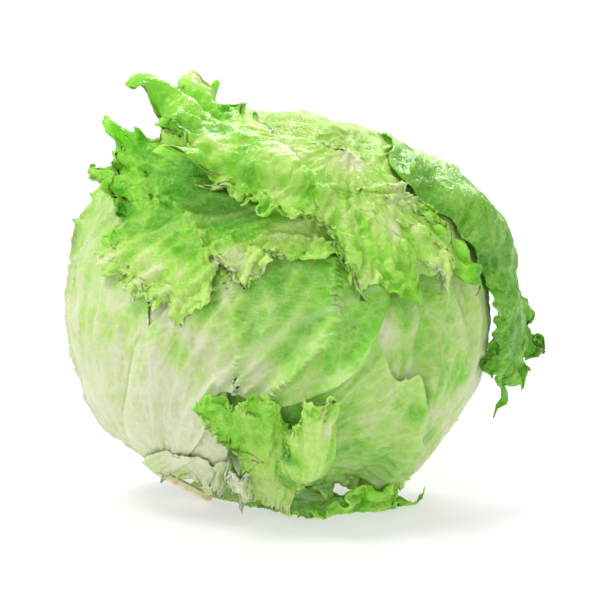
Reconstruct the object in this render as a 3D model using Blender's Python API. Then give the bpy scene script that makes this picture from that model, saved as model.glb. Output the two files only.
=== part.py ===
"""A head of iceberg lettuce that stands on its base and leans to the left.

The head grows from one short stem. Its heart is a tight bud of folded leaves. Head leaves hug the
heart, and looser wrapper leaves lie over them, with margins that stand off the head. Every leaf is one
closed sheet laid over the leaves under it, so the leaves are listed from the inside out.
Metres, +Z up, +Y away from the front. The origin is on the surface it rests on, below the middle.
"""

import math
from dataclasses import dataclass

import bmesh
import bpy
from mathutils import Vector
from mathutils.bvhtree import BVHTree

# Driving dimensions.
HEAD_CENTRE = Vector((-0.011, 0.0, 0.0750))
HEART_RADII = Vector((0.0795, 0.0760, 0.0730))
HEART_FLAT = 0.0062  # the height at which the weight has flattened the heart's underside
SHEET = 0.0012  # how thick a leaf is
LEAF_GAP = 0.0006
EASE_STEPS = 40  # the most times that a leaf is eased off the ones beneath
LIFT_ONSET = 2.4  # the power with which a margin's lift sets in towards the margin
HEAD_LEAF_FLOOR = 0.0040  # the lowest that a head leaf may reach, and so on outwards
WRAPPER_FLOOR = 0.0021
STEM_LON, STEM_LAT = -64.0, -60.0  # where the stem leaves the head
STEM_RADIUS = 0.0130
STEM_OUT = 0.0050
STEM_SIDES = 20

LEAF_GREEN = (0.36, 0.62, 0.09)
PALE_GREEN = (0.62, 0.74, 0.36)
RIB_WHITE = (0.80, 0.82, 0.62)


def direction(lon, lat):
    """The unit vector at lon degrees to the right of the front and lat degrees above the horizon."""
    lon, lat = math.radians(lon), math.radians(lat)
    return Vector((math.sin(lon) * math.cos(lat), -math.cos(lon) * math.cos(lat), math.sin(lat)))


def heart_radius(way):
    """How far the heart's surface is from the head's centre in the direction way."""
    return 1.0 / math.sqrt(sum((w / r) ** 2 for w, r in zip(way, HEART_RADII)))


def around(ring, turn):
    """The value of a closed ring of vectors at turn, which runs from 0 to 1 round the ring."""
    place = turn * len(ring)
    step = math.floor(place)
    t = place - step
    before, low, high, after = (ring[(step + k) % len(ring)] for k in (-1, 0, 1, 2))
    slope_low, slope_high = (high - before) / 2, (after - low) / 2
    rise = high - low
    bend = 3 * rise - 2 * slope_low - slope_high + t * (slope_low + slope_high - 2 * rise)
    return low + t * (slope_low + t * bend)


@dataclass
class Leaf:
    """A leaf laid on the head. Its margin is a ring of points, clockwise from the tip as seen from
    outside, each (lon, lat, lift): two directions in degrees, and how far the margin stands off the
    head in millimetres. middle is the leaf's middle, and the mean of its margin if left out."""

    name: str
    margin: tuple
    middle: tuple = ()
    colour: tuple = LEAF_GREEN
    floor: float = WRAPPER_FLOOR  # the lowest that it may reach, in metres
    swell: float = 0.0  # how far the middle stands off the head, in millimetres
    cells: int = 10  # cells along each side of its square grid

    def __post_init__(self):
        self.ways = [direction(lon, lat) for lon, lat, _ in self.margin]
        self.lifts = [Vector((lift, 0.0)) for _, _, lift in self.margin]
        mean = sum(self.ways, Vector((0.0, 0.0, 0.0))).normalized()
        self.centre = direction(*self.middle) if self.middle else mean

    def way(self, x, y):
        """The direction from the head's centre of the point x, y of the unit disc."""
        rim = math.hypot(x, y)
        if rim < 1e-9:
            return self.centre.copy()
        edge = around(self.ways, math.atan2(x, y) / math.tau).normalized()
        return self.centre.slerp(edge, min(rim, 1.0))

    def height(self, x, y):
        """How far the point x, y of the unit disc stands off the heart, in metres."""
        rim = math.hypot(x, y)
        lift = around(self.lifts, math.atan2(x, y) / math.tau)[0] * rim**LIFT_ONSET
        return (lift + self.swell * (1 - rim**2)) / 1000


def head_leaf(name, margin, **more):
    return Leaf(name, margin, colour=PALE_GREEN, floor=HEAD_LEAF_FLOOR, **more)


HEAD_LEAVES = (
    head_leaf("back_left_leaf", ((-150, 62, 2), (-110, 48, 2), (-92, 15, 2), (-90, -15, 2), (-96, -44, 2),
              (-130, -60, 1), (-165, -58, 2), (176, -24, 2), (174, 15, 2), (172, 45, 2))),
    head_leaf("back_right_leaf", ((150, 64, 2), (172, 48, 2), (-178, 12, 3), (-178, -16, 2), (172, -52, 2),
              (135, -62, 1), (102, -54, 2), (94, -15, 2), (92, 15, 2), (104, 45, 2))),
    head_leaf("right_inner_leaf", ((78, 52, 2), (100, 34, 2), (112, 6, 3), (112, -20, 3), (104, -52, 2),
              (80, -62, 1), (54, -54, 1), (52, -15, 1), (52, 15, 1), (56, 38, 1))),
    head_leaf("lower_left_leaf", ((-40, 36, 1), (-22, 26, 1), (-12, 4, 1), (-12, -20, 1), (-18, -42, 1),
              (-38, -48, 1), (-60, -40, 1), (-72, -14, 1), (-70, 12, 1), (-60, 28, 1))),
    head_leaf("left_leaf", ((-87, 44, 7), (-66, 48, 3), (-44, 32, 1), (-34, 6, 1), (-36, -18, 1), (-54, -43, 1),
              (-82, -47, 1), (-102, -34, 2), (-110, 0, 3), (-106, 26, 7))),
    head_leaf("right_leaf", ((62, 34, 1), (82, 20, 3), (90, -4, 4), (88, -26, 5), (82, -50, 4), (58, -62, 2),
              (30, -58, 1), (18, -22, 1), (20, 6, 1), (38, 28, 1))),
)

WRAPPER_LEAVES = (
    Leaf("front_leaf", ((30, 13, 2), (33, 1, 3), (21, -11, 4), (6, -18, 3), (-10, -20, 2), (-24, -36, 2),
         (-42, -47, 2), (-54, -34, 2), (-45, -12, 1), (-31, 4, 1), (-14, 20, 1), (8, 27, 1)), colour=PALE_GREEN),
    Leaf("lower_right_leaf", ((38, -7, 1), (50, -14, 3), (54, -30, 5), (58, -44, 8), (50, -60, 8), (26, -62, 6),
         (10, -48, 2), (6, -28, 1), (12, -12, 1), (24, -6, 1)), colour=PALE_GREEN),
    Leaf("collar_leaf", ((-57, 20, 7), (-52, 34, 10), (-66, 40, 14), (-70, 50, 13), (-50, 60, 6), (-12, 56, 1),
         (14, 40, 1), (20, 24, 1), (17, 12, 1), (4, 6, 2), (-14, 5, 6), (-26, 6, 4), (-38, 6, 4), (-50, 12, 5))),
    Leaf("right_wrapper_leaf", ((80, -19, 21), (69, -12, 16), (70, 2, 12), (76, 16, 10), (84, 34, 6), (92, 54, 3),
         (120, 62, 2), (146, 46, 2), (148, 22, 4), (134, 4, 10), (116, -7, 18), (96, -13, 26)), swell=10.0),
    Leaf("top_wrapper_leaf", ((17, 26, 7), (4, 32, 9), (-10, 35, 12), (-24, 38, 16), (-42, 46, 23), (-74, 58, 28),
         (-110, 66, 22), (-160, 68, 7), (168, 62, 3), (125, 56, 2), (92, 40, 5), (84, 18, 12), (72, 8, 13),
         (60, 9, 8), (42, 10, 5), (26, 14, 6)), middle=(20, 52)),
    Leaf("crown_leaf", ((10, 76, 5), (-100, 86, 5), (-178, 66, 4), (-168, 44, 4), (-170, 20, 4), (168, 8, 4),
         (140, 16, 4), (104, 32, 5), (68, 50, 5), (52, 62, 5)), colour=PALE_GREEN),
    Leaf("back_wrapper_leaf", ((174, 34, 8), (-160, 30, 9), (-134, 16, 7), (-120, -10, 5), (-126, -38, 3),
         (-158, -54, 2), (166, -52, 2), (138, -40, 3), (136, -12, 5), (142, 8, 6), (154, 26, 7))),
    Leaf("curled_leaf", ((10, -18, 9), (17, -24, 8), (21, -34, 7), (20, -44, 5), (10, -47, 4), (4, -40, 6),
         (3, -26, 8)), cells=5),
    Leaf("folded_leaf", ((-4, -15, 11), (6, -19, 10), (13, -28, 9), (18, -42, 9), (22, -58, 6), (2, -62, 5),
         (-14, -50, 7), (-17, -34, 10), (-16, -18, 12)), cells=8, swell=4.0),
    Leaf("torn_leaf", ((-56, -42, 5), (-42, -36, 3), (-28, -38, 3), (-21, -48, 5), (-25, -58, 7), (-42, -56, 4),
         (-56, -50, 5)), colour=RIB_WHITE, cells=5),
    Leaf("torn_rib", ((-16, -42, 5), (-8, -42, 5), (-3, -50, 5), (-8, -60, 5), (-18, -61, 7), (-21, -52, 5)),
         colour=RIB_WHITE, cells=4),
    Leaf("floor_leaf", ((60, -50, 13), (70, -62, 15), (90, -74, 12), (160, -70, 9), (-160, -64, 8), (-110, -64, 8),
         (-74, -70, 8), (-30, -70, 8), (8, -65, 8), (26, -58, 9), (42, -51, 11)), middle=(0, -89), swell=8.0,
         floor=0.0),
)


def object_of(name, bm, colour, roughness=0.4):
    """A smooth-shaded object with its own material, from a finished bmesh."""
    mesh = bpy.data.meshes.new(name)
    bm.to_mesh(mesh)
    bm.free()
    mesh.shade_smooth()
    mesh.set_sharp_from_angle(angle=math.radians(50))
    material = bpy.data.materials.new(name)
    material.use_nodes = True
    shader = material.node_tree.nodes["Principled BSDF"]
    shader.inputs["Base Color"].default_value = (*colour, 1)
    shader.inputs["Roughness"].default_value = roughness
    mesh.materials.append(material)
    obj = bpy.data.objects.new(name, mesh)
    bpy.context.scene.collection.objects.link(obj)
    return obj


def heart():
    """The tight bud of folded leaves, flattened where it bears on the leaves beneath."""
    bm = bmesh.new()
    bmesh.ops.create_icosphere(bm, subdivisions=4, radius=1.0)
    for vert in bm.verts:
        way = vert.co.normalized()
        vert.co = HEAD_CENTRE + way * heart_radius(way)
        vert.co.z = max(vert.co.z, HEART_FLAT)
    return bm


def stem():
    """The cut stem: a short stump whose inner end stops just short of the heart."""
    bm = bmesh.new()
    way = direction(STEM_LON, STEM_LAT)
    turn = Vector((0, 0, 1)).rotation_difference(way).to_matrix()
    loops = []
    for share, out in ((0.86, 0.0018), (1.0, 0.0026), (0.97, 0.0042), (0.86, STEM_OUT)):
        ring = bmesh.ops.create_circle(bm, segments=STEM_SIDES, radius=STEM_RADIUS * share)["verts"]
        for vert in ring:
            vert.co = HEAD_CENTRE + turn @ (vert.co + Vector((0, 0, heart_radius(way) + out)))
        loops.append(ring)
    for low, high in zip(loops, loops[1:]):
        for k in range(STEM_SIDES):
            after = (k + 1) % STEM_SIDES
            bm.faces.new((low[k], low[after], high[after], high[k]))
    bm.faces.new(reversed(loops[0]))
    bm.faces.new(loops[-1])
    bmesh.ops.recalc_face_normals(bm, faces=bm.faces)
    return bm


def outermost(trees, way):
    """The distance from the head's centre to the outermost surface already laid in the direction way."""
    far = 0.0
    for tree in trees:
        hit = tree.ray_cast(HEAD_CENTRE + way * 0.3, -way)[0]
        if hit is not None:
            far = max(far, (hit - HEAD_CENTRE).length)
    return far


def sides(leaf, way, reach):
    """Where the inner and the outer skin of a leaf pass through the direction way."""
    inner, outer = HEAD_CENTRE + way * reach, HEAD_CENTRE + way * (reach + SHEET)
    inner.z, outer.z = max(inner.z, leaf.floor + SHEET), max(outer.z, leaf.floor)
    return inner, outer


def lay(leaf, trees):
    """A leaf as a closed sheet over everything laid before it, no lower than its own floor."""
    bm = bmesh.new()
    bmesh.ops.create_grid(bm, x_segments=leaf.cells, y_segments=leaf.cells, size=1.0)
    inner = list(bm.verts)
    ways, reaches = {}, {}
    for vert in inner:
        u, v = vert.co.x, vert.co.y
        x, y = u * math.sqrt(1 - v * v / 2), v * math.sqrt(1 - u * u / 2)
        ways[vert] = leaf.way(x, y)
        reaches[vert] = heart_radius(ways[vert]) + leaf.height(x, y)
    for vert in inner:
        near = [ways[vert]]
        for face in vert.link_faces:
            middle = sum((ways[v] for v in face.verts), Vector((0, 0, 0))).normalized()
            near += [middle, ways[vert].slerp(middle, 0.5)]
        under = max(outermost(trees, w) for w in near)
        reaches[vert] = max(reaches[vert], under + LEAF_GAP)
    inner_faces = list(bm.faces)
    rim = [(loop.vert, loop.link_loop_next.vert) for face in bm.faces for loop in face.loops if loop.edge.is_boundary]
    outer = bmesh.ops.duplicate(bm, geom=bm.verts[:] + bm.edges[:] + bm.faces[:])["vert_map"]
    outer = {vert: outer[vert] for vert in inner}
    bmesh.ops.reverse_faces(bm, faces=inner_faces)
    owner = {**{vert: vert for vert in inner}, **{outer[vert]: vert for vert in inner}}
    for a, b in rim:
        bm.faces.new((outer[b], outer[a], a, b))
    # Wherever the sheet comes within the gap of one laid before, it is eased off the head.
    for _ in range(EASE_STEPS):
        for vert in inner:
            vert.co, outer[vert].co = sides(leaf, ways[vert], reaches[vert] - LEAF_GAP / 2)
        bm.faces.ensure_lookup_table()
        tree = BVHTree.FromBMesh(bm)
        touching = {face for other in trees for face, _ in tree.overlap(other)}
        if not touching:
            break
        for vert in {owner[v] for face in touching for v in bm.faces[face].verts}:
            reaches[vert] += LEAF_GAP / 2
    for vert in inner:
        vert.co, outer[vert].co = sides(leaf, ways[vert], reaches[vert])
    return bm


def main():
    for obj in list(bpy.data.objects):
        bpy.data.objects.remove(obj, do_unlink=True)
    pieces = [("heart", heart(), PALE_GREEN), ("stem", stem(), RIB_WHITE)]
    trees = [BVHTree.FromBMesh(bm) for _, bm, _ in pieces]
    for leaf in HEAD_LEAVES + WRAPPER_LEAVES:
        bm = lay(leaf, trees)
        trees.append(BVHTree.FromBMesh(bm))
        pieces.append((leaf.name, bm, leaf.colour))
    points = [vert.co for _, bm, _ in pieces for vert in bm.verts]
    middle = [(min(p[k] for p in points) + max(p[k] for p in points)) / 2 for k in range(2)]
    shift = Vector((-middle[0], -middle[1], -min(p.z for p in points)))
    for name, bm, colour in pieces:
        bmesh.ops.translate(bm, verts=bm.verts, vec=shift)
        object_of(name, bm, colour)


main()
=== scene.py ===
"""A head of iceberg lettuce, built leaf by leaf from the heart outwards, as it grows.

Every leaf is a sheet laid over the leaves beneath it. Its margin then grows faster than its middle, as
a real leaf's does, and buckles into ruffles. Lengths are in metres unless a name says otherwise.
"""

import math

import bmesh
import bpy
import numpy as np
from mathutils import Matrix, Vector
from mathutils.bvhtree import BVHTree


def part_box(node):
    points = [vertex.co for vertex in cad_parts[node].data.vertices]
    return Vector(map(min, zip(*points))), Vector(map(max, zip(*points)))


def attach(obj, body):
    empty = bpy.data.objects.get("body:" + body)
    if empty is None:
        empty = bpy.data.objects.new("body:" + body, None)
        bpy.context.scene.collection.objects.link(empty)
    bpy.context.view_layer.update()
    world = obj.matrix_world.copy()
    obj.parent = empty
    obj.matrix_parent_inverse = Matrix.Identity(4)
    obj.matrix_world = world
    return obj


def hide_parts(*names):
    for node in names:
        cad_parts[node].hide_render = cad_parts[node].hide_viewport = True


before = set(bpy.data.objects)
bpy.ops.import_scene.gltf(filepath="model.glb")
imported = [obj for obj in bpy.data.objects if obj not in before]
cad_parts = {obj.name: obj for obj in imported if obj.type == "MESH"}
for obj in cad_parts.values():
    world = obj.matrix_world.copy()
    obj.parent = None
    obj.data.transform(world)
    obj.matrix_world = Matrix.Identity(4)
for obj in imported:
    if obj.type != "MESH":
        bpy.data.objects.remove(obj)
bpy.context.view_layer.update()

MM = 0.001

# ---------------------------------------------------------------------------------------------------
# The heart: the tight bud of young leaves at the middle, folded over each other. They are crisp,
# yellow-green and waxy, and grow from the top of the stem.
# ---------------------------------------------------------------------------------------------------

HEART_TOP_RADIUS = 73 * MM
HEART_FOLD = 0.7 * MM  # the step at the margin of each folded leaf of the bud
HEART_FOLDS = 9
HEART_SINK = 4.6 * MM  # how far the bud lies inside the CAD heart, which leaves room for its folds
HEART_WAVE = 0.5 * MM
heart_low, heart_high = (np.array(corner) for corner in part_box("heart"))
HEAD = np.array([*(heart_low + heart_high)[:2] / 2, heart_high[2] - HEART_TOP_RADIUS])
HEART_RADII = np.array([*(heart_high - heart_low)[:2] / 2, HEART_TOP_RADIUS])


def linear(hexes):
    """An sRGB hex colour as linear red, green, blue and a full alpha."""
    parts = [int(hexes[k : k + 2], 16) / 255 for k in (1, 3, 5)]
    return (*(p / 12.92 if p <= 0.04045 else ((p + 0.055) / 1.055) ** 2.4 for p in parts), 1.0)


def add(tree, kind, inputs=None, **settings):
    """A node with its settings, whose inputs are values or the sockets that feed them."""
    made = tree.nodes.new(kind)
    for name, value in settings.items():
        setattr(made, name, value)
    for name, value in (inputs or {}).items():
        if isinstance(value, bpy.types.NodeSocket):
            tree.links.new(value, made.inputs[name])
        else:
            made.inputs[name].default_value = value
    return made


def ramp(tree, factor, stops):
    """A colour ramp over factor through stops, each a place and a colour."""
    made = add(tree, "ShaderNodeValToRGB", {"Fac": factor})
    elements = made.color_ramp.elements
    for k, (place, hexes) in enumerate(stops):
        element = elements[k] if k < 2 else elements.new(place)
        element.position, element.color = place, linear(hexes)
    return made.outputs["Color"]


def mixed(tree, factor, low, high):
    """The colour low turned into high by factor."""
    made = add(tree, "ShaderNodeMix", {"Factor": factor}, data_type="RGBA")
    for socket, value in ((made.inputs[6], low), (made.inputs[7], high)):
        if isinstance(value, bpy.types.NodeSocket):
            tree.links.new(value, socket)
        else:
            socket.default_value = linear(value)
    return made.outputs[2]


def remapped(tree, value, low, high, to_low=0.0, to_high=1.0):
    """value carried from the range low to high onto the range to_low to to_high, and held inside it."""
    sockets = {"Value": value, "From Min": low, "From Max": high, "To Min": to_low, "To Max": to_high}
    return add(tree, "ShaderNodeMapRange", sockets).outputs["Result"]


def leaf_material(name, stops, vein_hex, wax=0.34, gloss=0.3, glow=0.45, crinkle=0.5):
    """Crisp leaf: waxed skin over wet green flesh, so it has a soft sheen and lets light through.
    stops are its colours from the white rib at 0 to the greenest margin at 1, wax the roughness of its
    skin, gloss how much it mirrors, glow how much light goes through the flesh, and crinkle its bump."""
    made = bpy.data.materials.new(name)
    made.use_nodes = True
    tree = made.node_tree
    shader = tree.nodes["Principled BSDF"]
    green = add(tree, "ShaderNodeAttribute", attribute_name="green").outputs["Fac"]
    vein = add(tree, "ShaderNodeAttribute", attribute_name="vein").outputs["Fac"]
    plane = add(tree, "ShaderNodeUVMap", uv_map="leaf_plane").outputs["UV"]
    # The leaf plane is in decimetres, so a scale of 100 / s draws cells or blotches s millimetres across.
    drift = add(tree, "ShaderNodeTexNoise",
                {"Vector": plane, "Scale": 100 / 14, "Detail": 5.0, "Roughness": 0.6}).outputs["Fac"]
    warp = add(tree, "ShaderNodeTexNoise", {"Vector": plane, "Scale": 100 / 5, "Detail": 2.0})
    bent = add(tree, "ShaderNodeMix", {"Factor": 0.04}, data_type="RGBA", blend_type="LINEAR_LIGHT")
    tree.links.new(plane, bent.inputs[6])
    tree.links.new(warp.outputs["Color"], bent.inputs[7])
    net = add(tree, "ShaderNodeTexVoronoi", {"Vector": bent.outputs[2], "Scale": 100 / 6.5},
              feature="DISTANCE_TO_EDGE").outputs["Distance"]
    finest = add(tree, "ShaderNodeTexVoronoi", {"Vector": bent.outputs[2], "Scale": 100 / 2.2},
                 feature="DISTANCE_TO_EDGE").outputs["Distance"]
    net_line = remapped(tree, net, 0.0, 0.10, 1.0, 0.0)
    fine_line = remapped(tree, finest, 0.0, 0.14, 1.0, 0.0)
    blotch = remapped(tree, drift, 0.25, 0.75, -0.24, 0.24)
    shade = add(tree, "ShaderNodeMath", {0: green, 1: blotch}, operation="ADD", use_clamp=True).outputs[0]
    colour = ramp(tree, shade, stops)
    colour = mixed(tree, remapped(tree, net_line, 0.0, 1.0, 0.0, 0.15), colour, vein_hex)
    colour = mixed(tree, remapped(tree, fine_line, 0.0, 1.0, 0.0, 0.04), colour, vein_hex)
    colour = mixed(tree, remapped(tree, vein, 0.05, 1.0, 0.0, 0.42), colour, vein_hex)
    tree.links.new(colour, shader.inputs["Base Color"])
    tree.links.new(remapped(tree, drift, 0.3, 0.7, wax - 0.08, wax + 0.10), shader.inputs["Roughness"])
    shader.inputs["IOR"].default_value = 1.45
    shader.inputs["Specular IOR Level"].default_value = gloss
    shader.inputs["Subsurface Weight"].default_value = glow
    shader.inputs["Subsurface Radius"].default_value = (0.55, 1.0, 0.15)
    shader.inputs["Subsurface Scale"].default_value = 3.0 * MM
    raised = add(tree, "ShaderNodeMath", {0: net_line, 1: -0.8, 2: fine_line},
                 operation="MULTIPLY_ADD").outputs[0]
    grain = add(tree, "ShaderNodeTexNoise",
                {"Vector": plane, "Scale": 100 / 3.0, "Detail": 5.0, "Roughness": 0.6}).outputs["Fac"]
    raised = add(tree, "ShaderNodeMath", {0: grain, 1: 2.2, 2: raised}, operation="MULTIPLY_ADD").outputs[0]
    bump = add(tree, "ShaderNodeBump", {"Height": raised, "Strength": crinkle, "Distance": 0.4 * MM})
    tree.links.new(bump.outputs["Normal"], shader.inputs["Normal"])
    return made


# Inner leaves grow in the dark, so they are nearly white at the rib, and smooth and wet.
head_flesh = leaf_material("head_leaf", ((0.0, "#D8E4BA"), (0.25, "#CBE0A0"), (0.5, "#B0DC72"),
                                         (0.75, "#8FD048"), (1.0, "#6FBC2A")), "#E4EECB", crinkle=0.35)


def waves(points, wavelength, rng, count=28):
    """A smooth random field near -1 to 1 over rows of points, with bumps about wavelength across."""
    total = np.zeros(points.shape[:-1])
    for _ in range(count):
        way = rng.normal(size=points.shape[-1])
        way *= 2 * math.pi / wavelength * rng.uniform(0.6, 1.4) / np.linalg.norm(way)
        total += np.cos(points @ way + rng.uniform(0, 2 * math.pi))
    return total / math.sqrt(count)


def heart_reach(ways):
    """How far the heart's surface is from the head's centre, along rows of unit vectors."""
    return 1.0 / np.linalg.norm(ways / HEART_RADII, axis=-1)


def unit(vectors):
    return vectors / np.linalg.norm(vectors, axis=-1, keepdims=True)


def eased(value, low, high):
    """0 below low, 1 above high, and smooth between."""
    t = np.clip((value - low) / (high - low), 0.0, 1.0)
    return t * t * (3 - 2 * t)


def finished(name, mesh, material):
    """A piece of the head, smooth all over, that rides on the root and stands for its CAD node."""
    mesh.polygons.foreach_set("use_smooth", np.ones(len(mesh.polygons), dtype=bool))
    mesh.materials.append(material)
    piece = bpy.data.objects.new(name + "_surface", mesh)
    bpy.context.scene.collection.objects.link(piece)
    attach(piece, "root")
    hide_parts(name)
    return piece


bud = bmesh.new()
bmesh.ops.create_icosphere(bud, subdivisions=6, radius=1.0)
heart_mesh = bpy.data.meshes.new("heart")
bud.to_mesh(heart_mesh)
bud.free()
rng = np.random.default_rng(3)
ways = np.empty(len(heart_mesh.vertices) * 3)
heart_mesh.vertices.foreach_get("co", ways)
ways = unit(ways.reshape(-1, 3))
folds = np.zeros(len(ways))
for _ in range(HEART_FOLDS):
    middle = unit(rng.normal(size=3))
    folds += eased(ways @ middle + 0.05 * waves(ways, 0.9, rng), 0.30, 0.34)
reach = heart_reach(ways) - HEART_SINK + HEART_FOLD * (folds - HEART_FOLDS / 3)
reach += HEART_WAVE * waves(ways, 0.35, rng)
bud_points = HEAD + ways * reach[:, None]
bud_points[:, 2] = np.maximum(bud_points[:, 2], heart_low[2])
heart_mesh.vertices.foreach_set("co", bud_points.ravel())
heart_mesh.attributes.new("green", "FLOAT", "POINT").data.foreach_set("value", 0.35 + 0.2 * ways[:, 2])
heart_mesh.attributes.new("vein", "FLOAT", "POINT").data.foreach_set("value", np.zeros(len(ways)))
heart_uv = heart_mesh.uv_layers.new(name="leaf_plane")
corner_verts = np.empty(len(heart_mesh.loops), dtype=int)
heart_mesh.loops.foreach_get("vertex_index", corner_verts)
heart_uv.uv.foreach_set("vector", ((bud_points - HEAD)[corner_verts][:, [0, 2]] * 10).ravel())
finished("heart", heart_mesh, head_flesh)

# ---------------------------------------------------------------------------------------------------
# Leaves: what every leaf of the head shares. A leaf is a square grid drawn onto a round chart. The
# chart is laid on the head about the leaf's middle, with its margin through a ring of places.
# ---------------------------------------------------------------------------------------------------

HEAD_RADIUS = 78 * MM  # the head's mean radius, which turns angles on it into lengths on a leaf
SKIN_GAP = 1.1 * MM  # the least air between a leaf and the one beneath
TIGHT = 1.0 * MM  # how far inside the CAD heart's surface a leaf may lie
OUTSIDE = 0.3  # a distance from the head's centre that is beyond every leaf
REST_HEIGHT = 0.4 * MM  # the lowest that a leaf's middle surface comes to the table
BLADE_THICK = 0.55 * MM
CHART_CELLS = 64  # cells along each side of the grid that a leaf is laid out on
LIFT_ONSET = 2.4  # the power with which a margin's lift sets in towards the margin
# How a margin grows on finer and finer grids: the step between grid points, the stretch added, where on
# the way to the rim it sets in, how long it settles, and how firmly points 2 and 4 apart resist bending.
GROWTH = ((4, 0.42, 0.50, 160, 0.08, 0.0), (2, 0.12, 0.66, 90, 0.35, 0.15), (1, 0.04, 0.84, 50, 0.5, 0.4))
LAST_GROWTH = (0.02, 0.90, 26, 0.6, 0.5)  # the same on a grid twice as fine
SPEED_KEPT = 0.88  # how much of its speed a growing leaf keeps from one step to the next
SMOOTHINGS = 9  # how often a leaf is smoothed over the steps in the leaves beneath
# The waves that start a margin's ruffles: height, wavelength, and the power with which they set in.
FIRST_WAVES = ((6.0 * MM, 46 * MM, 2), (1.5 * MM, 24 * MM, 3))
CRIMP, CRIMP_WIDTH = 0.2 * MM, 9 * MM  # the same for the last, finest ruffles
# How wide the features of a leaf's skin are.
HEAVE_WIDTH = 38 * MM
PLEAT_WIDTH = 11 * MM
FINE_PLEAT_WIDTH = 5 * MM
BLISTER_WIDTH = 8 * MM
CREASE_WIDTH, FINE_CREASE_WIDTH = 13 * MM, 6 * MM
MOTTLE_WIDTH = 22 * MM
STREAK_WIDTH = 6 * MM
# The margin's lobes, its teeth and their points: pitch and depth in millimetres.
TOOTHING = ((24.0, 7.0), (9.0, 4.6), (3.8, 1.7))
laid = []  # the surfaces of the leaves already laid


def direction(lon, lat):
    """The unit vector at lon degrees to the right of the front and lat degrees above the horizon."""
    lon, lat = math.radians(lon), math.radians(lat)
    return np.array([math.sin(lon) * math.cos(lat), -math.cos(lon) * math.cos(lat), math.sin(lat)])


def around(ring, turn):
    """A closed ring of rows at turn, an array that runs from 0 to 1 round the ring."""
    place = (turn % 1.0) * len(ring)
    step = np.floor(place).astype(int)
    t = (place - step)[..., None]
    before, low, high, after = (ring[(step + k) % len(ring)] for k in (-1, 0, 1, 2))
    slope_low, slope_high, rise = (high - before) / 2, (after - low) / 2, high - low
    bend = 3 * rise - 2 * slope_low - slope_high + t * (slope_low + slope_high - 2 * rise)
    return low + t * (slope_low + t * bend)


def finer(field):
    """A grid of rows with one more row and column between each two, on a smooth curve."""
    for axis in (0, 1):
        rows = np.moveaxis(field, axis, 0)
        padded = np.concatenate([2 * rows[:1] - rows[1:2], rows, 2 * rows[-1:] - rows[-2:-1]])
        between = (9 * (padded[1:-2] + padded[2:-1]) - padded[:-3] - padded[3:]) / 16
        woven = np.empty((2 * len(rows) - 1, *rows.shape[1:]))
        woven[0::2], woven[1::2] = rows, between
        field = np.moveaxis(woven, 0, axis)
    return field


class Chart:
    """Where each point of a leaf's grid lies. margin is a ring of places clockwise from the tip as seen
    from outside, each (lon, lat, lift, frill): degrees, millimetres off the head, and how much it ruffles."""

    def __init__(self, margin, middle):
        self.ring = np.array([direction(lon, lat) for lon, lat, _, _ in margin])
        self.rises = np.array([(lift * MM, frill) for _, _, lift, frill in margin])
        self.middle = direction(*middle) if middle else unit(self.ring.sum(axis=0))
        tip = self.ring[0]
        self.up = unit(tip - self.middle * (tip @ self.middle))
        self.right = np.cross(self.up, self.middle)
        self.turns = np.linspace(0, 1, 721)
        edge = self.flat(unit(around(self.ring, self.turns)))
        self.run = np.concatenate([[0], np.cumsum(np.linalg.norm(np.diff(edge, axis=0), axis=1))])
        self.spoke = np.linalg.norm(edge, axis=1)

    def flat(self, ways):
        """Where ways from the head's centre lie on the leaf's own plane, spread flat about its middle."""
        cosine = ways @ self.middle
        side = ways - self.middle * cosine[..., None]
        side = side / (np.linalg.norm(side, axis=-1, keepdims=True) + 1e-12)
        side = side * (np.arccos(np.clip(cosine, -1, 1)) * HEAD_RADIUS)[..., None]
        return np.stack([side @ self.right, side @ self.up], axis=-1)

    def lay(self, u, v):
        """For grid places u, v: the ways from the head's centre, rim share, lift, frill and turn."""
        x, y = u * np.sqrt(1 - v * v / 2), v * np.sqrt(1 - u * u / 2)
        rim = np.clip(np.hypot(x, y), 1e-9, 1.0)
        turn = np.arctan2(x, y) / (2 * math.pi) % 1.0
        edge = unit(around(self.ring, turn))
        angle = np.arccos(np.clip(edge @ self.middle, -1, 1))
        near, far = np.sin((1 - rim) * angle)[..., None], np.sin(rim * angle)[..., None]
        ways = unit(near * self.middle + far * edge)
        rises = around(self.rises, turn)
        return ways, rim, rises[..., 0], np.clip(rises[..., 1], 0, 2), turn


def grid(cells):
    """The places u, v of a square grid of cells, which run from -1 to 1."""
    steps = np.linspace(-1, 1, cells + 1)
    return np.meshgrid(steps, steps, indexing="ij")


def outermost(ways):
    """How far from the head's centre the leaves already laid reach, along a grid of ways."""
    far = np.zeros(ways.shape[:2])
    for place in np.ndindex(far.shape):
        way = Vector(ways[place])
        start = Vector(HEAD) + way * OUTSIDE
        for tree in laid:
            hit = tree.ray_cast(start, -way, OUTSIDE)[0]
            if hit is not None:
                far[place] = max(far[place], (hit - Vector(HEAD)).length)
    return far


def widest(field):
    """Each value of a grid raised to the highest of its neighbours."""
    padded = np.pad(field, 1, mode="edge")
    size = field.shape
    return np.max([padded[i : i + size[0], j : j + size[1]] for i in range(3) for j in range(3)], axis=0)


def blurred(field):
    """A grid with each value evened out with its four neighbours."""
    padded = np.pad(field, 1, mode="edge")
    return (padded[:-2, 1:-1] + padded[2:, 1:-1] + padded[1:-1, :-2] + padded[1:-1, 2:] + 2 * field) / 6


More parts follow.
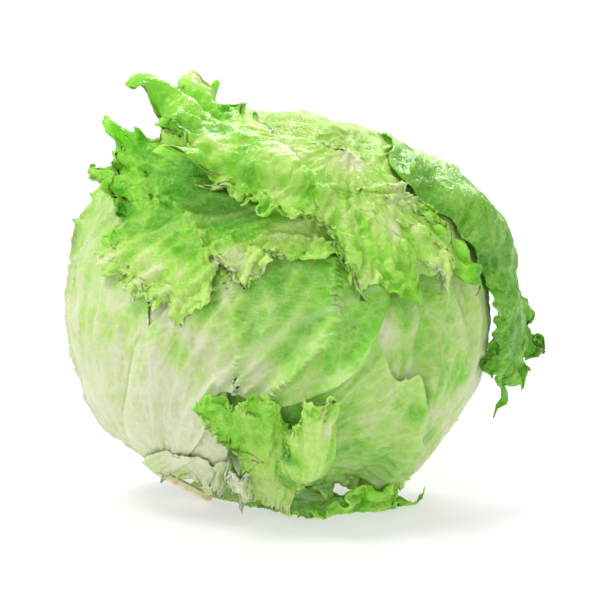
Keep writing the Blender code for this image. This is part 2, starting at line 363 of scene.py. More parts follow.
def ties(shape, stiff, stiffer):
    """The pairs of grid points tied to each other, in sets where no point comes twice, with how
    firmly: neighbours and diagonals hold the sheet's size, and points 2 and 4 apart resist bending."""
    index = np.arange(shape[0] * shape[1]).reshape(shape)
    sets = []
    for di, dj, firm in ((1, 0, 1.0), (0, 1, 1.0), (1, 1, 0.6), (1, -1, 0.6), (2, 0, stiff), (0, 2, stiff),
                         (4, 0, stiffer), (0, 4, stiffer)):
        if not firm:
            continue
        a = index[: shape[0] - di, max(0, -dj) : shape[1] - max(0, dj)]
        b = index[di:, max(0, dj) : shape[1] + min(0, dj)]
        count = a.shape[0] if di else a.shape[1]
        step = max(di, abs(dj))
        for odd in (0, 1):
            keep = np.arange(count) // step % 2 == odd
            chosen = (slice(None), keep) if not di else (keep, slice(None))
            sets.append((a[chosen].ravel(), b[chosen].ravel(), firm))
    return sets


def grown(points, rest, target, growth, hold, floor, reach, steps, stiff, stiffer):
    """The grid of points after a sheet the size of rest has grown by growth and settled. hold is how
    firmly each point keeps to target, reach how far it may go from there, and floor the nearest that it
    may come to the head's centre."""
    shape = growth.shape
    p, goal, rest = points.reshape(-1, 3).copy(), target.reshape(-1, 3), rest.reshape(-1, 3)
    more, hold = growth.ravel(), hold.reshape(-1, 1)
    floor, reach = floor.reshape(-1, 1), reach.reshape(-1, 1)
    tied = []
    for a, b, firm in ties(shape, stiff, stiffer):
        full = np.linalg.norm(rest[a] - rest[b], axis=1)
        tied.append((a, b, firm, full, full * (more[a] + more[b]) / 2))
    old = p.copy()
    for step in range(steps):
        share = min(1.0, (step + 1) / (0.6 * steps))
        p, old = p + (p - old) * SPEED_KEPT, p
        p += (goal - p) * hold
        for a, b, firm, full, extra in tied:
            gap = p[b] - p[a]
            length = np.sqrt((gap * gap).sum(axis=1)) + 1e-9
            pull = gap * (0.5 * firm * (length - full - extra * share) / length)[:, None]
            p[a] += pull
            p[b] -= pull
        out = p - HEAD
        far = np.sqrt((out * out).sum(axis=1, keepdims=True))
        p = HEAD + out * np.maximum(far, floor) / far
        off = p - goal
        away = np.sqrt((off * off).sum(axis=1, keepdims=True)) + 1e-9
        p = goal + off * np.minimum(1.0, reach / away)
        p[:, 2] = np.maximum(p[:, 2], REST_HEIGHT)
    return p.reshape(points.shape)


def sampled(field, i, j):
    """A grid of rows read at the fractional places i, j, on smooth curves."""
    size = field.shape[0]
    low_i, low_j = (np.clip(np.floor(k).astype(int), 0, size - 2) for k in (i, j))
    total = 0.0
    weights = []
    for k, low in ((i, low_i), (j, low_j)):
        t = k - low
        weights.append((-t / 2 + t**2 - t**3 / 2, 1 - 2.5 * t**2 + 1.5 * t**3,
                        t / 2 + 2 * t**2 - 1.5 * t**3, (t**3 - t**2) / 2))
    for a in range(4):
        for b in range(4):
            rows = field[np.clip(low_i + a - 1, 0, size - 1), np.clip(low_j + b - 1, 0, size - 1)]
            total = total + rows * (weights[0][a] * weights[1][b])[:, None]
    return total


def normals(points):
    """The unit normals of a grid of points, out of the side that shows."""
    return unit(np.cross(np.gradient(points, axis=0), np.gradient(points, axis=1)) + 1e-12)


def turned(way, angle):
    """A way on the leaf plane, turned to its right by angle."""
    return np.array([way[0] * math.cos(angle) + way[1] * math.sin(angle),
                     way[1] * math.cos(angle) - way[0] * math.sin(angle)])


def vein_tree(base, tip, bow, rng):
    """A leaf's veins: the midrib, bowed to its right, ribs that fan from its base, and their branches
    and twigs. Each is a line of points on the leaf plane, its half width at its start and its strength."""
    length = np.linalg.norm(tip - base)
    ahead = (tip - base) / length
    share = np.linspace(0, 1, 10)[:, None]
    midrib = base + share * (tip - base) + np.sin(math.pi * share) * bow * MM * turned(ahead, math.pi / 2)
    ribs = [(midrib, 4.2 * MM, 1.0)]
    heading = (midrib[2] - midrib[0]) / np.linalg.norm(midrib[2] - midrib[0])
    for k in (-4, -3, -2, -1, 1, 2, 3, 4):
        way = turned(heading, k * rng.uniform(0.22, 0.28))
        line = [midrib[0] + way * 3 * MM]
        for _ in range(9):
            line.append(line[-1] + way * length * rng.uniform(0.085, 0.105))
            way = turned(way, -math.copysign(rng.uniform(-0.02, 0.10), k))
        ribs.append((np.array(line), 1.5 * MM, 0.65))
    veins = list(ribs)
    for line, _, _ in ribs:
        for at in range(1, 8):
            for side in (-1, 1):
                way = turned(line[at + 1] - line[at], side * rng.uniform(0.4, 0.75))
                way = way / np.linalg.norm(way) * length * rng.uniform(0.035, 0.055)
                start = line[at] + (line[at + 1] - line[at]) * rng.uniform(0, 1)
                branch = [start]
                for _ in range(5):
                    branch.append(branch[-1] + way)
                    way = turned(way, side * rng.uniform(-0.22, 0.12))
                veins.append((np.array(branch), 0.8 * MM, 0.42))
                twig = branch[2] + np.outer(np.linspace(0, 1, 4), turned(way, -side * 0.8) * 2.2)
                veins.append((twig, 0.6 * MM, 0.26))
    return veins


def vein_strength(plane, veins):
    """How much a vein shows at each place of the leaf plane: 1 on the midrib, less on branches."""
    strength = np.zeros(len(plane))
    for line, half, most in veins:
        shares = np.linspace(1.0, 0.35, len(line))
        for a, b, share in zip(line, line[1:], shares):
            width = max(half * share, 0.5 * MM)
            low, high = np.minimum(a, b) - 2.5 * width, np.maximum(a, b) + 2.5 * width
            near = np.flatnonzero(((plane > low) & (plane < high)).all(axis=1))
            along = b - a
            t = np.clip(((plane[near] - a) @ along) / (along @ along), 0, 1)
            away = np.linalg.norm(plane[near] - a - t[:, None] * along, axis=1)
            shown = np.exp(-((away / width) ** 2)) * most * share
            strength[near] = np.maximum(strength[near], shown)
    return strength


def blisters(plane, size, rng):
    """The puffed skin between fine veins: 1 at the middle of each cell about size across, 0 on its edge."""
    salt = rng.uniform(50, 90, 4)
    place = plane / size
    cell = np.floor(place)
    nearest = np.full(plane.shape[:-1], 9.0)
    second = nearest.copy()
    for di in (-1, 0, 1):
        for dj in (-1, 0, 1):
            other = cell + (di, dj)
            roll = np.stack([np.sin(other[..., 0] * salt[0] + other[..., 1] * salt[1]),
                             np.sin(other[..., 0] * salt[2] + other[..., 1] * salt[3])], axis=-1) * 437.5
            away = np.linalg.norm(other + 0.1 + 0.8 * (roll - np.floor(roll)) - place, axis=-1)
            second = np.minimum(second, np.maximum(nearest, away))
            nearest = np.minimum(nearest, away)
    return eased(second - nearest, 0.0, 0.6)


def toothed(run, girth, pitch, depth, rng):
    """How deep the margin is cut at each length run along it: pointed teeth with round bays, none alike."""
    count = max(6, int(girth / pitch))
    edges = np.concatenate([[0.0], np.cumsum(rng.uniform(0.35, 1.7, count))])
    edges *= girth / edges[-1]
    depths = depth * rng.uniform(0.15, 1.5, count)
    bay = np.clip(np.searchsorted(edges, run, side="right") - 1, 0, count - 1)
    t = (run - edges[bay]) / (edges[bay + 1] - edges[bay])
    lean = rng.uniform(0.7, 1.5, count)[bay]
    return depths[bay] * np.sin(math.pi * np.clip(t, 0, 1) ** lean) ** 0.7


def fan_places(plane, base, tip):
    """Places on the leaf plane as seen from its base: across the fan of ribs, and along it, in metres.
    Waves drawn over them are pleats and streaks that fan from the base."""
    off = plane - base
    ahead = unit(tip - base)
    out = np.linalg.norm(off, axis=-1)
    angle = np.arctan2(off @ np.array([ahead[1], -ahead[0]]), off @ ahead)
    return np.stack([angle * 55 * MM, 0.25 * out], axis=-1), out


def ruffled(chart, target, floor, rim, frill, rng):
    """A leaf's grid after its margin has grown, level by level, on ever finer grids."""
    plane = chart.flat(unit(target - HEAD))
    out = normals(target)
    points = target
    for high, wide, power in FIRST_WAVES:
        points = points + out * (high * waves(plane, wide, rng) * rim**power * frill)[..., None]
    hold = 0.16 * (1 - 0.97 * eased(rim, 0.40, 0.95) * np.clip(frill, 0, 1)) + 0.003
    limit = (1.2 + 14 * eased(rim, 0.35, 1.0) * frill) * MM
    for step, more, onset, steps, stiff, stiffer in GROWTH:
        every = slice(None, None, step)
        if step == GROWTH[0][0]:
            points, rest = points[every, every], target[every, every]
        else:
            points = rest = finer(points)
        spread = more * eased(rim, onset, 1.0) * frill
        points = grown(points, rest, target[every, every], spread[every, every], hold[every, every],
                       floor[every, every], limit[every, every], steps, stiff, stiffer)
    more, onset, steps, stiff, stiffer = LAST_GROWTH
    stacked = finer(np.dstack([points, target, hold, floor, limit, rim, frill]))
    points, target = stacked[..., :3], stacked[..., 3:6]
    hold, floor, limit, rim, frill = np.moveaxis(stacked[..., 6:], -1, 0)
    crimp = waves(finer(plane), CRIMP_WIDTH, rng)[..., None] * normals(points)
    points = points + crimp * (CRIMP * rim**6 * frill)[..., None]
    spread = more * eased(rim, onset, 1.0) * frill
    return grown(points, points, target, spread, hold, floor, limit, steps, stiff, stiffer)


def surface_tree(points):
    """A grid of points as a surface that rays can be cast on."""
    rows, columns = points.shape[:2]
    index = np.arange(rows * columns).reshape(rows, columns)
    quads = np.stack([index[:-1, :-1], index[1:, :-1], index[1:, 1:], index[:-1, 1:]], axis=-1).reshape(-1, 4)
    return BVHTree.FromPolygons([Vector(p) for p in points.reshape(-1, 3)], quads.tolist())


def leaf(name, margin, material, seed, rib, bow=0.0, middle=(), swell=0.0, green=(0.1, 1.0), onset=0.0,
         painted_shading_and_tone=(), mottle=0.09, heave=1.4, crease=0.5, pleat=0.6, puff=0.6, cuts=1.0, cells=128,
         relief=0.7):
    """One leaf of the head, from its chart to its finished piece. rib is where its midrib starts and
    ends, as (lon, lat), and bow how far it bends to its right. swell is how far its middle stands off.
    green is its colour at the base, up to onset of its length, and at the tip, mottle how much it varies,
    and painted_shading_and_tone are places with more or less of it: lon, lat, millimetres across and how
    much. Most of these are painted shade in hollows, gaps and under lifted margins, or a painted highlight
    of the wax; a few are the leaf's own tone. heave, crease, pleat, puff and relief are the heights in
    millimetres of its big waves, creases, pleats, blisters and ribs. cuts is how deep its teeth are, and
    cells how fine its mesh is."""
    rng = np.random.default_rng(seed)
    chart = Chart(margin, middle)
    base, tip = (chart.flat(direction(*end)) for end in rib)
    length = np.linalg.norm(tip - base)
    ways, rim, lift, frill, _ = chart.lay(*grid(CHART_CELLS))
    plane = chart.flat(ways)
    fan, out = fan_places(plane, base, tip)
    floor = outermost(ways)
    floor = widest(widest(floor + (floor > 0) * (SKIN_GAP + BLADE_THICK)))
    wavy = heave * waves(plane, HEAVE_WIDTH, rng)
    wavy += pleat * waves(fan, PLEAT_WIDTH, rng) * eased(out, 0.1 * length, 0.5 * length)
    reach = heart_reach(ways) - TIGHT + lift * rim**LIFT_ONSET
    reach = reach + swell * MM * (1 - rim**2) + wavy * MM
    reach = np.maximum(reach, floor)
    for _ in range(SMOOTHINGS):
        reach = np.maximum(blurred(reach), floor)
    target = HEAD + ways * reach[..., None]
    target[..., 2] = np.maximum(target[..., 2], REST_HEIGHT)
    points = ruffled(chart, target, floor, rim, frill, rng)
    laid.append(surface_tree(points))

    sheet = bmesh.new()
    bmesh.ops.create_grid(sheet, x_segments=cells, y_segments=cells, size=1.0)
    mesh = bpy.data.meshes.new(name)
    sheet.to_mesh(mesh)
    sheet.free()
    places = np.empty(len(mesh.vertices) * 3)
    mesh.vertices.foreach_get("co", places)
    places = places.reshape(-1, 3)[:, :2]
    _, _, _, frill, turn = chart.lay(places[:, 0], places[:, 1])
    run = np.interp(turn, chart.turns, chart.run)
    spoke = np.interp(turn, chart.turns, chart.spoke)
    cut = sum(toothed(run / MM, chart.run[-1] / MM, pitch, depth, rng) for pitch, depth in TOOTHING)
    cut *= cuts * (0.2 + 0.8 * np.clip(frill, 0, 1)) * eased(np.abs(places).max(axis=1), 0.72, 1.0)
    places = places * (1 - cut * MM / spoke)[:, None]
    half = (points.shape[0] - 1) / 2
    rows, columns = (places.T + 1) * half
    skin = sampled(points, rows, columns)
    outward = unit(sampled(normals(points), rows, columns))
    ways, rim, _, _, _ = chart.lay(places[:, 0], places[:, 1])
    plane = chart.flat(ways)
    fan, out = fan_places(plane, base, tip)
    along = np.clip(out / length, 0, 1.2)
    veins = vein_strength(plane, vein_tree(base, tip, bow, rng))
    wander = np.stack([waves(plane, 11 * MM, rng), waves(plane, 9 * MM, rng)], -1)
    bumps = blisters(plane + 1.8 * MM * wander, BLISTER_WIDTH, rng)
    height = relief * veins * (0.4 + 0.6 * (1 - rim))
    height += puff * (bumps - 0.5) * (0.5 + 0.5 * eased(1 - rim, 0.0, 0.1))
    creased = 1 - np.abs(waves(fan + 0.25 * plane, CREASE_WIDTH, rng))
    creased -= 0.5 * np.abs(waves(plane, FINE_CREASE_WIDTH, rng))
    height += crease * creased * (0.6 + 0.4 * eased(rim, 0.2, 0.8))
    fine_pleats = 0.5 * pleat * waves(fan, FINE_PLEAT_WIDTH, rng) * eased(along, 0.2, 0.6)
    height += 0.4 * puff * wander[:, 0] + fine_pleats
    height *= 1 - 0.8 * eased(rim, 0.84, 1.0)
    skin = skin + outward * (height * MM)[:, None]
    skin[:, 2] = np.maximum(skin[:, 2], REST_HEIGHT)
    mesh.vertices.foreach_set("co", skin.ravel())
    tint = green[0] + (green[1] - green[0]) * eased(along, onset, 1.0)
    # Painted light: the frilled margin is paler, as if lit through its thin edge.
    tint -= 0.05 * eased(rim, 0.85, 1.0) * frill
    varied = mottle * waves(plane, MOTTLE_WIDTH, rng)
    tint += varied + 0.07 * waves(fan, STREAK_WIDTH, rng) * eased(along, 0.1, 0.5)
    # Greener on the blisters and paler on the vein net and the ribs near the base: the leaf's own colour.
    # Greener between the raised creases and paler on their ridges: painted shade and painted highlight.
    tint += 0.14 * (bumps - 0.6) + 0.10 * (0.6 - creased) * crease - 0.25 * veins * (1 - along)
    # Patches of more or less green: mostly painted shade in hollows and gaps and painted highlight on the
    # wax, a few the leaf's own tone.
    for lon, lat, wide, more in painted_shading_and_tone:
        off = np.linalg.norm(plane - chart.flat(direction(lon, lat)), axis=1)
        tint += more * np.exp(-((off / (wide * MM / 2)) ** 2))
    mesh.attributes.new("green", "FLOAT", "POINT").data.foreach_set("value", np.clip(tint, 0, 1))
    mesh.attributes.new("vein", "FLOAT", "POINT").data.foreach_set("value", veins)
    corners = np.empty(len(mesh.loops), dtype=int)
    mesh.loops.foreach_get("vertex_index", corners)
    mesh.uv_layers.new(name="leaf_plane").uv.foreach_set("vector", (plane[corners] * 10).ravel())
    piece = finished(name, mesh, material)
    shell = piece.modifiers.new("thickness", "SOLIDIFY")
    shell.thickness = BLADE_THICK
    shell.offset = -1.0
    return piece


# ---------------------------------------------------------------------------------------------------
# Head leaves: pale, crisp leaves that hug the heart, each with a broad white base at the stem. Their
# margins lie flat on the head apart from a little frill at the top.
# ---------------------------------------------------------------------------------------------------

leaf("back_left_leaf",
     ((-150, 62, 2, .2), (-110, 48, 1, .2), (-92, 15, 0, .1), (-90, -15, 0, .1), (-96, -44, 0, 0),
      (-130, -60, 1, 0), (-165, -58, 2, 0), (176, -24, 2, .1), (174, 15, 2, .1), (172, 45, 2, .2)),
     head_flesh, 11, rib=((-135, -62), (-135, 55)), green=(0.0, 0.6), onset=0.2, heave=0.7, puff=0.4,
     cuts=0.35)
leaf("back_right_leaf",
     ((150, 64, 2, .2), (172, 48, 2, .2), (-178, 12, 3, .1), (-178, -16, 2, .1), (172, -52, 2, 0),
      (135, -62, 1, 0), (102, -54, 2, 0), (94, -15, 2, .1), (92, 15, 2, .1), (104, 45, 2, .2)),
     head_flesh, 12, rib=((140, -64), (140, 58)), green=(0.0, 0.6), onset=0.2, puff=0.4, cuts=0.35)
leaf("right_inner_leaf",
     ((78, 52, 2, .2), (100, 34, 3, .2), (112, 6, 5, .1), (112, -20, 10, .1), (104, -46, 12, 0),
      (80, -56, 13, 0), (56, -54, 8, 0), (52, -15, 2, 0), (52, 15, 1, .1), (56, 38, 1, .2)),
     head_flesh, 13, rib=((80, -58), (80, 50)), swell=7.0, green=(0.25, 0.6), onset=0.1, puff=0.35,
     cuts=0.35)
leaf("lower_left_leaf",
     ((-40, 36, 1, .1), (-22, 26, 1, .1), (-12, 4, 1, 0), (-12, -20, 1, 0), (-18, -42, 1, 0),
      (-38, -48, 1, 0), (-60, -40, 1, 0), (-72, -14, 1, 0), (-70, 12, 1, 0), (-60, 28, 1, .1)),
     head_flesh, 14, rib=((-42, -48), (-40, 36)), green=(0.0, 0.5), onset=0.1, puff=0.3, cuts=0.35)
leaf("left_leaf",
     ((-87, 44, 5, .6), (-66, 48, 3, .3), (-44, 32, 1, .1), (-34, 6, 1, 0), (-36, -18, 1, 0),
      (-54, -43, 1, 0), (-82, -47, 0, 0), (-102, -34, 0, .1), (-110, 0, 0, .2), (-106, 26, 4, .7)),
     head_flesh, 15, rib=((-62, -50), (-84, 44)), green=(0.10, 0.55), onset=0.05, heave=0.7, puff=0.35,
     cuts=0.6)
leaf("right_leaf",
     ((46, 34, 1, .1), (55, 16, 2, .1), (62, 0, 3, .1), (70, -22, 4, .1), (72, -44, 8, .1),
      (58, -58, 5, 0), (30, -58, 1, 0), (18, -22, 1, 0), (20, 6, 1, 0), (30, 26, 1, 0)),
     head_flesh, 16, rib=((42, -60), (46, 30)), green=(0.25, 0.5), puff=0.5, cuts=0.35, mottle=0.12,
     painted_shading_and_tone=((46, 6, 20, .5), (50, -8, 18, .5), (38, -20, 16, .3), (62, -14, 14, .3), (50, -20, 9, .6),
              (57, -31, 10, .6)))

# ---------------------------------------------------------------------------------------------------
# Front leaves: the pale leaf at the lower right with a torn margin, and over it the broad leaf across
# the front, whose white rib climbs from the lower left.
# ---------------------------------------------------------------------------------------------------

# Painted shade: this leaf's base and the part reaching under the rolled lobe are painted deep green for the
# shade in that gap, and so is the slit at its right margin.
leaf("lower_right_leaf",
     ((41, -13, 2, 0), (46, -12, 5, .1), (52, -26, 8, .1), (58, -38, 8, .2), (64, -48, 9, .7),
      (56, -58, 12, 1), (36, -60, 10, .8), (18, -58, 8, .7), (-6, -52, 2, .3), (-8, -32, 1, 0),
      (6, -12, 1, 0), (24, 2, 1, 0), (33, -6, 1, 0)),
     head_flesh, 22, rib=((-6, -34), (60, -42)), green=(0.8, 0.5), puff=0.4, pleat=0.8, cuts=1.2,
     painted_shading_and_tone=((47, -24, 8, .7), (5, -44, 36, .8), (44, -40, 14, .3), (30, -34, 12, .2)))
leaf("front_leaf",
     ((33, 13, 4, .1), (30, 3, 7, .1), (23, -7, 8, .1), (14, -14, 8, .1), (2, -19, 7, .1),
      (-10, -15, 4, .1), (-16, -17, 3, 0), (-22, -30, 2, 0), (-36, -42, 2, 0), (-54, -47, 2, .1),
      (-52, -32, 2, 0), (-45, -18, 2, 0), (-38, -4, 2, 0), (-28, 8, 1, 0), (-14, 20, 1, 0),
      (8, 27, 1, 0)),
     head_flesh, 21, rib=((-46, -46), (32, 13)), bow=-14, middle=(-20, -3), green=(0.0, 0.85),
     onset=0.15, puff=0.4, pleat=1.3, cuts=0.15, relief=1.4, mottle=0.08,
     painted_shading_and_tone=((14, 2, 44, .12), (-4, 4, 30, .15)))

# ---------------------------------------------------------------------------------------------------
# Wrapper leaves: loose, vivid green leaves with ruffled margins that stand off the head. The yellow-green
# crown leaf grows among them, and the biggest wrapper hangs over its front half.
# ---------------------------------------------------------------------------------------------------

# Wrappers grow in the light: vivid green, waxed, and crinkled between the veins.
wrapper_flesh = leaf_material("wrapper_leaf", ((0.0, "#DCF0B4"), (0.25, "#BCE878"), (0.5, "#98DC46"),
                                               (0.75, "#70C01C"), (1.0, "#48A006")), "#D2F090",
                              wax=0.30, gloss=0.34, glow=0.5, crinkle=0.5)
# The oldest wrapper is darker, with a stronger crinkle.
shaded_flesh = leaf_material("shaded_leaf", ((0.0, "#CBE29E"), (0.3, "#92CE50"), (0.6, "#6AB024"),
                                             (1.0, "#469010")), "#B4DA80",
                             wax=0.32, gloss=0.42, glow=0.45, crinkle=0.7)
# The crown leaf is yellow-green, under a thick bloom of wax that dulls it.
crown_flesh = leaf_material("crown_leaf", ((0.0, "#DCE8B0"), (0.4, "#C0DA72"), (0.7, "#A8CE4E"),
                                           (1.0, "#88BE32")), "#DCEBA8", wax=0.42, gloss=0.2)

leaf("crown_leaf",
     ((10, 46, 5, 0), (-56, 58, 5, 0), (-130, 62, 6, .1), (-168, 44, 6, .1), (-170, 20, 4, .1),
      (168, 8, 3, .1), (146, 20, 3, .1), (118, 34, 2, 0), (84, 38, 1, 0), (44, 42, 2, 0)),
     crown_flesh, 34, rib=((170, 8), (10, 66)), swell=6.0, green=(0.7, 0.9), puff=0.5, cuts=0.3)
# Painted shade: the collar is painted deeper green towards its top, under the top wrapper and in the hollow
# by its notch, through its green from base to tip and through patches. The patch on the small lobe beside the
# notch is a paler painted highlight.
leaf("collar_leaf",
     ((-58, 19, 6, .5), (-61, 25, 8, .6), (-63, 31, 12, .9), (-68, 36, 18, 1), (-77, 42, 22, 1),
      (-78, 50, 24, 1), (-66, 60, 20, .9), (-40, 62, 6, .4), (-12, 56, 1, 0), (14, 44, 1, 0),
      (26, 30, 1, 0), (22, 23, 2, .2), (10, 19, 3, .4), (3, 20, 5, .6), (-4, 11, 7, .8),
      (-11, 16, 5, .6), (-15, 6, 3, .6), (-24, 3, 4, .7), (-35, 6, 5, .7), (-45, 9, 5, .7),
      (-53, 13, 6, .7)),
     wrapper_flesh, 31, rib=((24, 40), (-52, 18)), middle=(-24, 32), green=(0.45, 0.25), puff=0.8,
     pleat=1.6, crease=0.7, mottle=0.12, heave=2.4, cuts=1.3,
     painted_shading_and_tone=((-30, 42, 46, .8), (-10, 36, 26, .5), (-52, 32, 22, .4), (-70, 50, 30, .5),
              (-8, 22, 16, -.2), (-6, 12, 14, .35)))
leaf("right_wrapper_leaf",
     ((83, -24, 20, .8), (75, -19, 13, .8), (74, -6, 10, .5), (71, 10, 8, .3), (65, 24, 6, .2),
      (58, 38, 4, .1), (56, 48, 3, 0), (86, 56, 3, 0), (130, 50, 3, 0), (146, 34, 4, .2),
      (134, 14, 12, .6), (114, 0, 25, .9), (102, -7, 31, .9), (93, -18, 29, .9)),
     shaded_flesh, 32, rib=((130, 50), (85, -22)), middle=(90, 13), swell=20.0, green=(0.25, 0.7),
     puff=0.5, heave=1.6, crease=1.2, cuts=0.7)
# The paler patches right of its middle are a painted highlight of the waxy sheen.
leaf("top_wrapper_leaf",
     ((25, 9, 7, .7), (19, 18, 6, .5), (17, 27, 6, .5), (9, 31, 8, .6), (-2, 31, 10, .8),
      (-8, 34, 13, .9), (-22, 37, 18, 1), (-36, 43, 23, 1), (-50, 50, 24, 1), (-64, 54, 25, 1),
      (-82, 60, 25, 1), (-98, 66, 22, 1), (-104, 75, 18, 1), (-30, 77, 10, .6), (6, 65, 4, .1),
      (30, 59, 4, .1), (46, 50, 4, .15), (53, 42, 4, .2), (57, 34, 5, .3), (61, 26, 6, .4),
      (66, 18, 8, .6), (70, 9, 10, .8), (66, 6, 10, .9), (61, 11, 8, .8), (55, 8, 8, .8),
      (49, 13, 7, .7), (42, 7, 7, .7), (33, 7, 7, .7)),
     wrapper_flesh, 33, rib=((40, 56), (12, 26)), middle=(14, 46), green=(0.25, 0.5), puff=0.4,
     heave=2.8, pleat=0.6, crease=0.8, mottle=0.12, cuts=1.3, cells=160,
     painted_shading_and_tone=((16, 22, 26, -.1), (50, 28, 30, -.25), (20, 44, 30, .15), (-60, 56, 40, .2),
              (66, 12, 16, .3)))
leaf("back_wrapper_leaf",
     ((174, 34, 8, .9), (-160, 30, 9, .9), (-134, 16, 7, .7), (-120, -10, 5, .5), (-126, -38, 3, .2),
      (-158, -54, 2, 0), (166, -52, 2, 0), (138, -40, 3, .2), (136, -12, 5, .5), (142, 8, 6, .7),
      (154, 26, 7, .9)),
     wrapper_flesh, 35, rib=((174, -54), (176, 34)), green=(0.0, 0.9), onset=0.1, puff=0.7)

# ---------------------------------------------------------------------------------------------------
# Leaves at the foot: a frilled flap folded up at the front, a rolled lobe beside it, the white bases of
# leaves torn off by the stem, and the leaf flattened under the head.
# ---------------------------------------------------------------------------------------------------

leaf("folded_leaf",
     ((-14, -12, 14, .8), (-6, -10, 13, .7), (2, -15, 10, .4), (7, -24, 9, .1), (9, -42, 8, .1),
      (10, -60, 5, .2), (-6, -63, 5, .4), (-13, -48, 7, .8), (-12, -34, 9, 1), (-17, -24, 13, 1),
      (-19, -16, 15, 1)),
     wrapper_flesh, 42, rib=((0, -62), (-8, -12)), middle=(-2, -36), swell=7.0, green=(0.35, 0.65),
     heave=0.5, pleat=0.8, puff=0.3, crease=0.3)
# Painted shade on the roll's left and lower parts, in the slot beside the flap and the hollow beneath it. Its
# paler patches are painted highlights along the roll.
leaf("curled_leaf",
     ((8, -13, 11, .9), (17, -15, 10, .9), (21, -28, 5, .2), (21, -42, 4, .3), (12, -50, 4, .6),
      (3, -44, 5, .2), (3, -26, 8, .3)),
     wrapper_flesh, 41, rib=((12, -46), (12, -15)), swell=16.0, green=(0.5, 0.35), heave=2.4, puff=0.4,
     crease=0.6, cuts=0.8, cells=80,
     painted_shading_and_tone=((4, -30, 10, .7), (6, -44, 12, .7), (15, -22, 8, -.3), (19, -34, 6, .5),
              (14, -42, 9, -.3)))
leaf("torn_leaf",
     ((-59, -44, 6, .2), (-46, -38, 3, .1), (-30, -36, 3, .1), (-20, -44, 5, .3), (-27, -54, 9, .5),
      (-36, -54, 8, .4), (-46, -51, 7, .3)),
     head_flesh, 43, rib=((-30, -36), (-40, -56)), green=(0.05, 0.35), puff=0.2, heave=0.4, pleat=0.3,
     crease=0.2, cuts=0.9, cells=80)
leaf("torn_rib",
     ((-13, -56, 8, .5), (-22, -52, 7, .4), (-23, -43, 5, .2), (-13, -36, 5, .2), (-6, -42, 5, .2),
      (-7, -52, 6, .4)),
     head_flesh, 45, rib=((-12, -36), (-14, -57)), green=(0.05, 0.35), puff=0.2, heave=0.4, pleat=0.3,
     crease=0.2, cuts=0.9, cells=80)
leaf("floor_leaf",
     ((66, -48, 17, 1), (72, -60, 17, .9), (90, -74, 12, .5), (160, -70, 9, .2), (-160, -64, 8, .1),
      (-110, -64, 8, .1), (-74, -70, 8, .1), (-30, -70, 8, .3), (0, -66, 9, .9), (14, -57, 14, 1),
      (26, -51, 15, 1), (40, -46, 16, 1), (54, -44, 17, 1)),
     wrapper_flesh, 44, rib=((-60, -72), (60, -56)), middle=(0, -89), swell=8.0, green=(0.3, 0.5),
     puff=0.4)

# ---------------------------------------------------------------------------------------------------
# The stem: the short stump, cut across with a knife. The flesh is wet and white, and the cut has dried
# to a pale rust brown in patches.
# ---------------------------------------------------------------------------------------------------

stem_flesh = bpy.data.materials.new("stem_flesh")
stem_flesh.use_nodes = True
tree = stem_flesh.node_tree
spot = add(tree, "ShaderNodeTexCoord").outputs["Object"]
stains = add(tree, "ShaderNodeTexNoise", {"Vector": spot, "Scale": 1 / (4 * MM), "Detail": 5.0})
shader = tree.nodes["Principled BSDF"]
browned = ramp(tree, stains.outputs["Fac"], ((0.3, "#EFE9CC"), (0.55, "#E2D9AE"), (0.8, "#C99C62")))
tree.links.new(browned, shader.inputs["Base Color"])
shader.inputs["Roughness"].default_value = 0.45
shader.inputs["Subsurface Weight"].default_value = 0.3
shader.inputs["Subsurface Scale"].default_value = 2 * MM
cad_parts["stem"].material_slots[0].material = stem_flesh

# ---------------------------------------------------------------------------------------------------
# The table, the lights and the camera: a sheet of white paper under soft light from above, seen from
# the front and a little from above.
# ---------------------------------------------------------------------------------------------------

TABLE_SIZE = 80  # so large that its edge lies at the horizon
PAPER_GREY = 0.42
PAPER_GLOW = 0.53
HORIZON = (0.15, 0.40)  # heights in the sky between which it dims from white to ZENITH
ZENITH = 0.62

bpy.ops.mesh.primitive_plane_add(size=TABLE_SIZE)
table = bpy.context.object
table.name = "table"
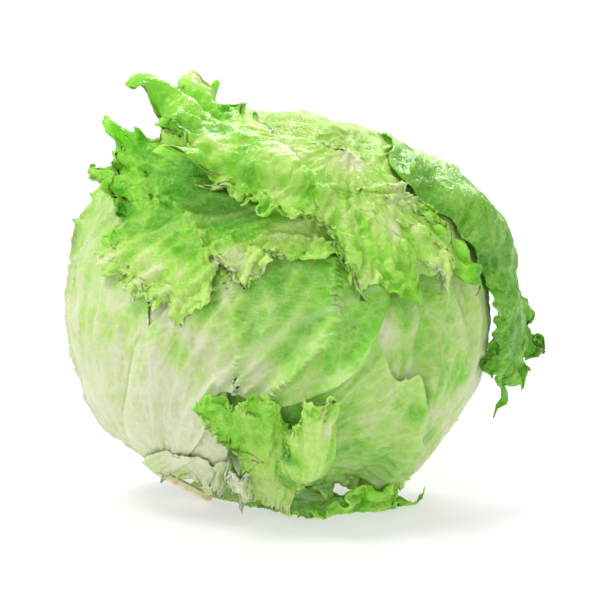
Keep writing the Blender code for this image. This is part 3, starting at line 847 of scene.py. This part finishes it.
# White paper lit from below, so that shadows on it stay pale.
white = bpy.data.materials.new("white_paper")
white.use_nodes = True
paper = white.node_tree.nodes["Principled BSDF"]
paper.inputs["Base Color"].default_value = (PAPER_GREY, PAPER_GREY, PAPER_GREY, 1)
paper.inputs["Emission Color"].default_value = (1, 1, 1, 1)
paper.inputs["Emission Strength"].default_value = PAPER_GLOW
paper.inputs["Roughness"].default_value = 0.9
paper.inputs["Specular IOR Level"].default_value = 0.1
table.data.materials.append(white)

# The sky is white down to the table's edge, so no horizon shows.
world = bpy.data.worlds.new("studio")
world.use_nodes = True
tree = world.node_tree
backdrop = tree.nodes["Background"]
backdrop.inputs["Color"].default_value = (1, 1, 1, 1)
up = add(tree, "ShaderNodeTexCoord").outputs["Generated"]
up = add(tree, "ShaderNodeSeparateXYZ", {"Vector": up}).outputs["Z"]
tree.links.new(remapped(tree, up, *HORIZON, 1.0, ZENITH), backdrop.inputs["Strength"])
bpy.context.scene.world = world
bpy.context.scene.view_settings.view_transform = "Standard"


def lamp(name, kind, place, energy, **settings):
    """A light of a kind at place that faces the head."""
    light = bpy.data.lights.new(name, kind)
    light.energy = energy
    for setting, value in settings.items():
        setattr(light, setting, value)
    held = bpy.data.objects.new(name, light)
    held.location = place
    held.rotation_euler = (Vector(place) - Vector(HEAD)).to_track_quat("Z", "Y").to_euler()
    bpy.context.scene.collection.objects.link(held)


lamp("sky", "SUN", (-0.40, -0.15, 1.0), 1.7, angle=math.radians(20))
lamp("back_box", "AREA", (0.15, 0.75, 0.8), 8.0, size=0.4)
lamp("front_box", "AREA", (-0.5, -1.3, 0.35), 3.0, size=0.9)

VIEW_DISTANCE = 0.9
VIEW_WIDTH = 0.237  # how wide the view is at the head
VIEW_UP = math.radians(8)
AIM_OFF = Vector((0.011, 0, 0.0033))  # the head leans to the left, so the view's middle is right of it
aim = Vector(HEAD) + AIM_OFF
lens = bpy.data.cameras.new("camera")
lens.sensor_width = 36
lens.lens = lens.sensor_width * VIEW_DISTANCE / VIEW_WIDTH
camera = bpy.data.objects.new("camera", lens)
camera.location = aim + VIEW_DISTANCE * Vector((0, -math.cos(VIEW_UP), math.sin(VIEW_UP)))
camera.rotation_euler = (camera.location - aim).to_track_quat("Z", "Y").to_euler()
bpy.context.scene.collection.objects.link(camera)
bpy.context.scene.camera = camera
